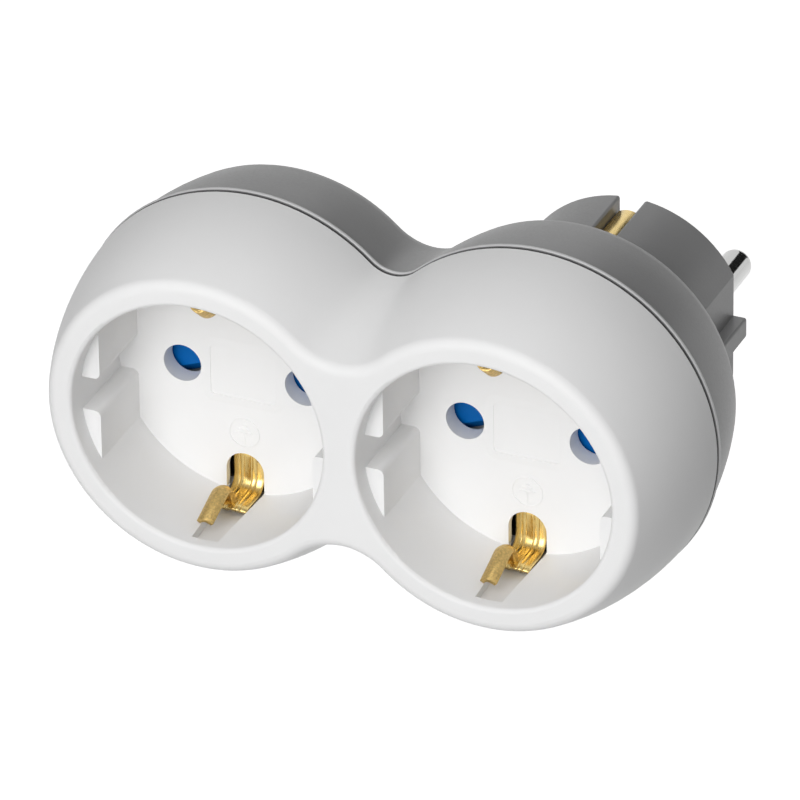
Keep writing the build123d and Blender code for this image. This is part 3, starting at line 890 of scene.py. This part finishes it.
def stand_card(name, middle, way, distance, width, height, paint):
    """Dark card out of the camera's sight, for bright metal to mirror or to shade a flank."""
    ahead = Vector(way).normalized()
    across = ahead.cross(Vector((0.0, 1.0, 0.0))).normalized()
    up = ahead.cross(across)
    deselect_all()
    bpy.ops.mesh.primitive_plane_add(size=1.0)
    card = bpy.context.object
    card.name = name
    turned = Matrix((across * width, up * height, ahead)).transposed()
    card.matrix_world = Matrix.Translation(middle + ahead * distance) @ turned.to_4x4()
    card.data.materials.append(paint)
    card.visible_camera = False


def set_camera(stage):
    """Camera that looks at the aim, its lens set by the width seen there."""
    bpy.ops.object.camera_add()
    camera = bpy.context.object
    ahead = Vector(
        (
            -math.sin(stage.azimuth) * math.cos(stage.elevation),
            math.cos(stage.azimuth) * math.cos(stage.elevation),
            -math.sin(stage.elevation),
        )
    )
    right = ahead.cross(Vector((0.0, 0.0, 1.0))).normalized()
    up = right.cross(ahead)
    rolled_right = right * math.cos(stage.roll) + up * math.sin(stage.roll)
    rolled_up = up * math.cos(stage.roll) - right * math.sin(stage.roll)
    turned = Matrix((rolled_right, rolled_up, -ahead)).transposed()
    place = Vector(stage.aim) - ahead * stage.distance
    camera.matrix_world = Matrix.Translation(place) @ turned.to_4x4()
    camera.data.sensor_width = SENSOR_WIDTH
    camera.data.lens = SENSOR_WIDTH * stage.distance / stage.view_width
    camera.data.clip_start = CLIP_START
    camera.data.clip_end = CLIP_END
    return camera


class ADAPTER_OT_stage(bpy.types.Operator):
    """Sets the floor, the lights, the cards and the camera"""

    bl_idname = "adapter.stage"
    bl_label = "Stage"

    def execute(self, context):
        scene = context.scene
        stage = scene.adapter_stage
        scene.view_settings.view_transform = "Standard"
        scene.world = make_world(stage.ambient)
        lay_floor(stage)

        middle = (cad_low + cad_high) / 2
        for name, way, width, level in (
            ("front_lamp", FRONT_LAMP_WAY, stage.front_width, stage.front_level),
            ("upper_lamp", UPPER_LAMP_WAY, stage.upper_width, stage.upper_level),
            ("top_lamp", TOP_LAMP_WAY, stage.upper_width, stage.top_level),
        ):
            hang_lamp(name, middle, way, stage.lamp_distance, width, level)
        black = make_card_paint()
        for name, way, distance, width, height in (
            ("back_card", BACK_CARD_WAY, stage.back_distance, stage.back_width, stage.back_height),
            ("left_card", LEFT_CARD_WAY, stage.left_distance, stage.left_width, stage.left_width),
        ):
            stand_card(name, middle, way, distance, width, height, black)
        scene.camera = set_camera(stage)
        return {"FINISHED"}


class ADAPTER_PT_looks(bpy.types.Panel):
    """Lists the adapter's operators in the sidebar"""

    bl_idname = "ADAPTER_PT_looks"
    bl_label = "Socket adapter"
    bl_space_type = "VIEW_3D"
    bl_region_type = "UI"
    bl_category = "Adapter"

    def draw(self, context):
        for operator in OPERATORS:
            self.layout.operator(operator.bl_idname)


GROUPS = {
    "adapter_finishes": AdapterFinishes,
    "adapter_marks": FloorMarkSizes,
    "adapter_contacts": EarthContactSizes,
    "adapter_strip": PlugStripSizes,
    "adapter_stage": StageSettings,
}
OPERATORS = (
    ADAPTER_OT_finishes,
    ADAPTER_OT_floor_marks,
    ADAPTER_OT_earth_contacts,
    ADAPTER_OT_plug_strip,
    ADAPTER_OT_stage,
)
CLASSES = (*GROUPS.values(), *OPERATORS, ADAPTER_PT_looks)


def register():
    """Registers the classes and hangs each group of settings on the scene."""
    for cls in CLASSES:
        bpy.utils.register_class(cls)
    for name, group in GROUPS.items():
        setattr(bpy.types.Scene, name, bpy.props.PointerProperty(type=group))


def unregister():
    """Takes the settings and the classes away again."""
    for name in GROUPS:
        delattr(bpy.types.Scene, name)
    for cls in reversed(CLASSES):
        bpy.utils.unregister_class(cls)


def main():
    """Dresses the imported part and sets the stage."""
    register()
    bpy.ops.adapter.finishes()
    bpy.ops.adapter.floor_marks()
    bpy.ops.adapter.earth_contacts()
    bpy.ops.adapter.plug_strip()
    bpy.ops.adapter.stage()


if __name__ == "__main__":
    main()
